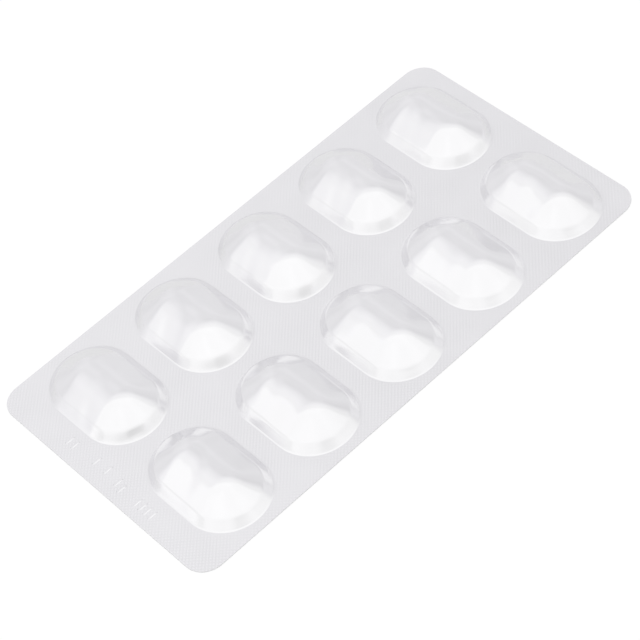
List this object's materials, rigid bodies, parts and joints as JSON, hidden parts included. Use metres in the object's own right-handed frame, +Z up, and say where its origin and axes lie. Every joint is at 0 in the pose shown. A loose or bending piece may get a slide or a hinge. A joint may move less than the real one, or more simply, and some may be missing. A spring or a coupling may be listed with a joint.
{
  "type": "pill blister pack",
  "caption": "Sealed foil blister pack with two rows of raised, crested pockets on a flat web with rounded corners, holding oblong tablets until they are pushed out.",
  "frame": {"origin": "middle of the flat underside", "axes": "+X along the pack's length, away from the short edge that carries the coded margin; +Y across the two rows; +Z up, out of the pockets"},
  "size_m": [0.1134, 0.06, 0.0052],
  "materials": {
    "foil": "satin cold-formed foil, knurled on the flat seal"
  },
  "bodies": {
    "root": {"blister_pack": "foil"}
  },
  "joints": []
}
